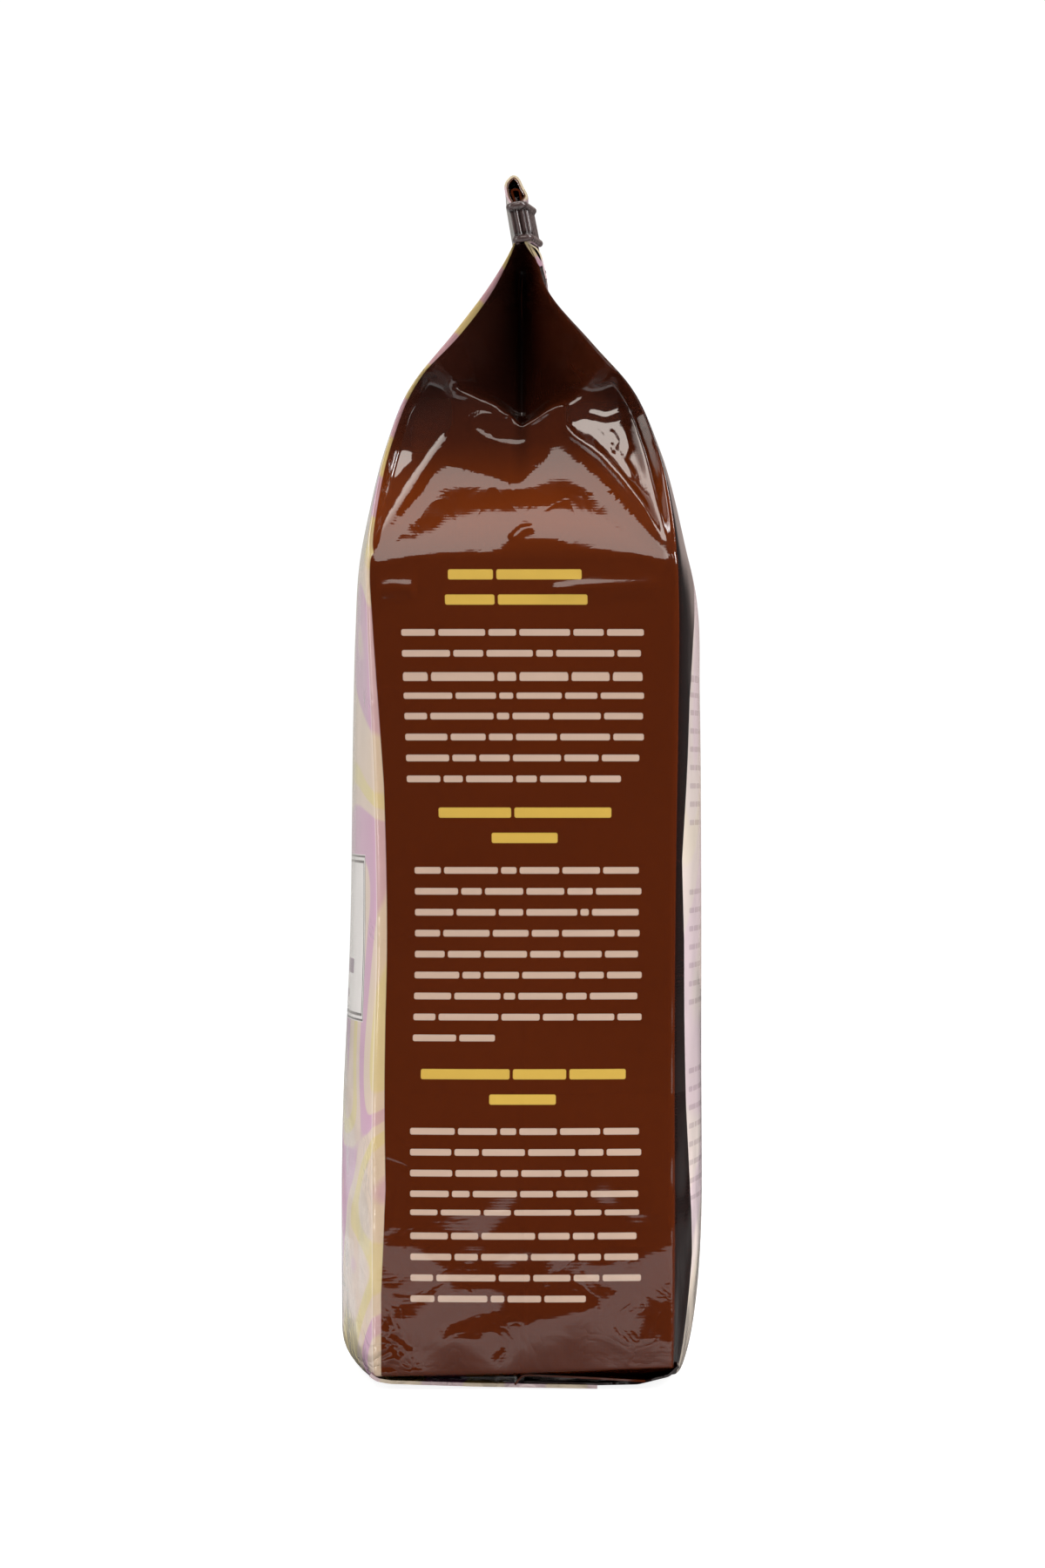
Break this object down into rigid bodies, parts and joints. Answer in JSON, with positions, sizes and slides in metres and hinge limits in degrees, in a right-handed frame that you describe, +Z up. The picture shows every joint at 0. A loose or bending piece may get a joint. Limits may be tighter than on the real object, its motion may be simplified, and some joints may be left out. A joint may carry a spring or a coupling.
{
  "type": "coffee bag",
  "caption": "Closed, filled side-gusset coffee pouch of glossy printed film, its neck folded over and held by a bent plastic tie.",
  "frame": {"origin": "on the floor under the middle of the bag: bottom centre of the bounding box", "axes": "+Z up from the base to the folded top; the front panel faces -Y; the side gussets face +X and -X"},
  "size_m": [0.0876, 0.0786, 0.2549],
  "materials": {
    "film": "gloss laminate film, brown side gussets, cream and lilac print on the front and back",
    "tie_plastic": "satin dark brown"
  },
  "bodies": {
    "root": {"bag": "film", "tin_tie": "tie_plastic"}
  },
  "joints": []
}
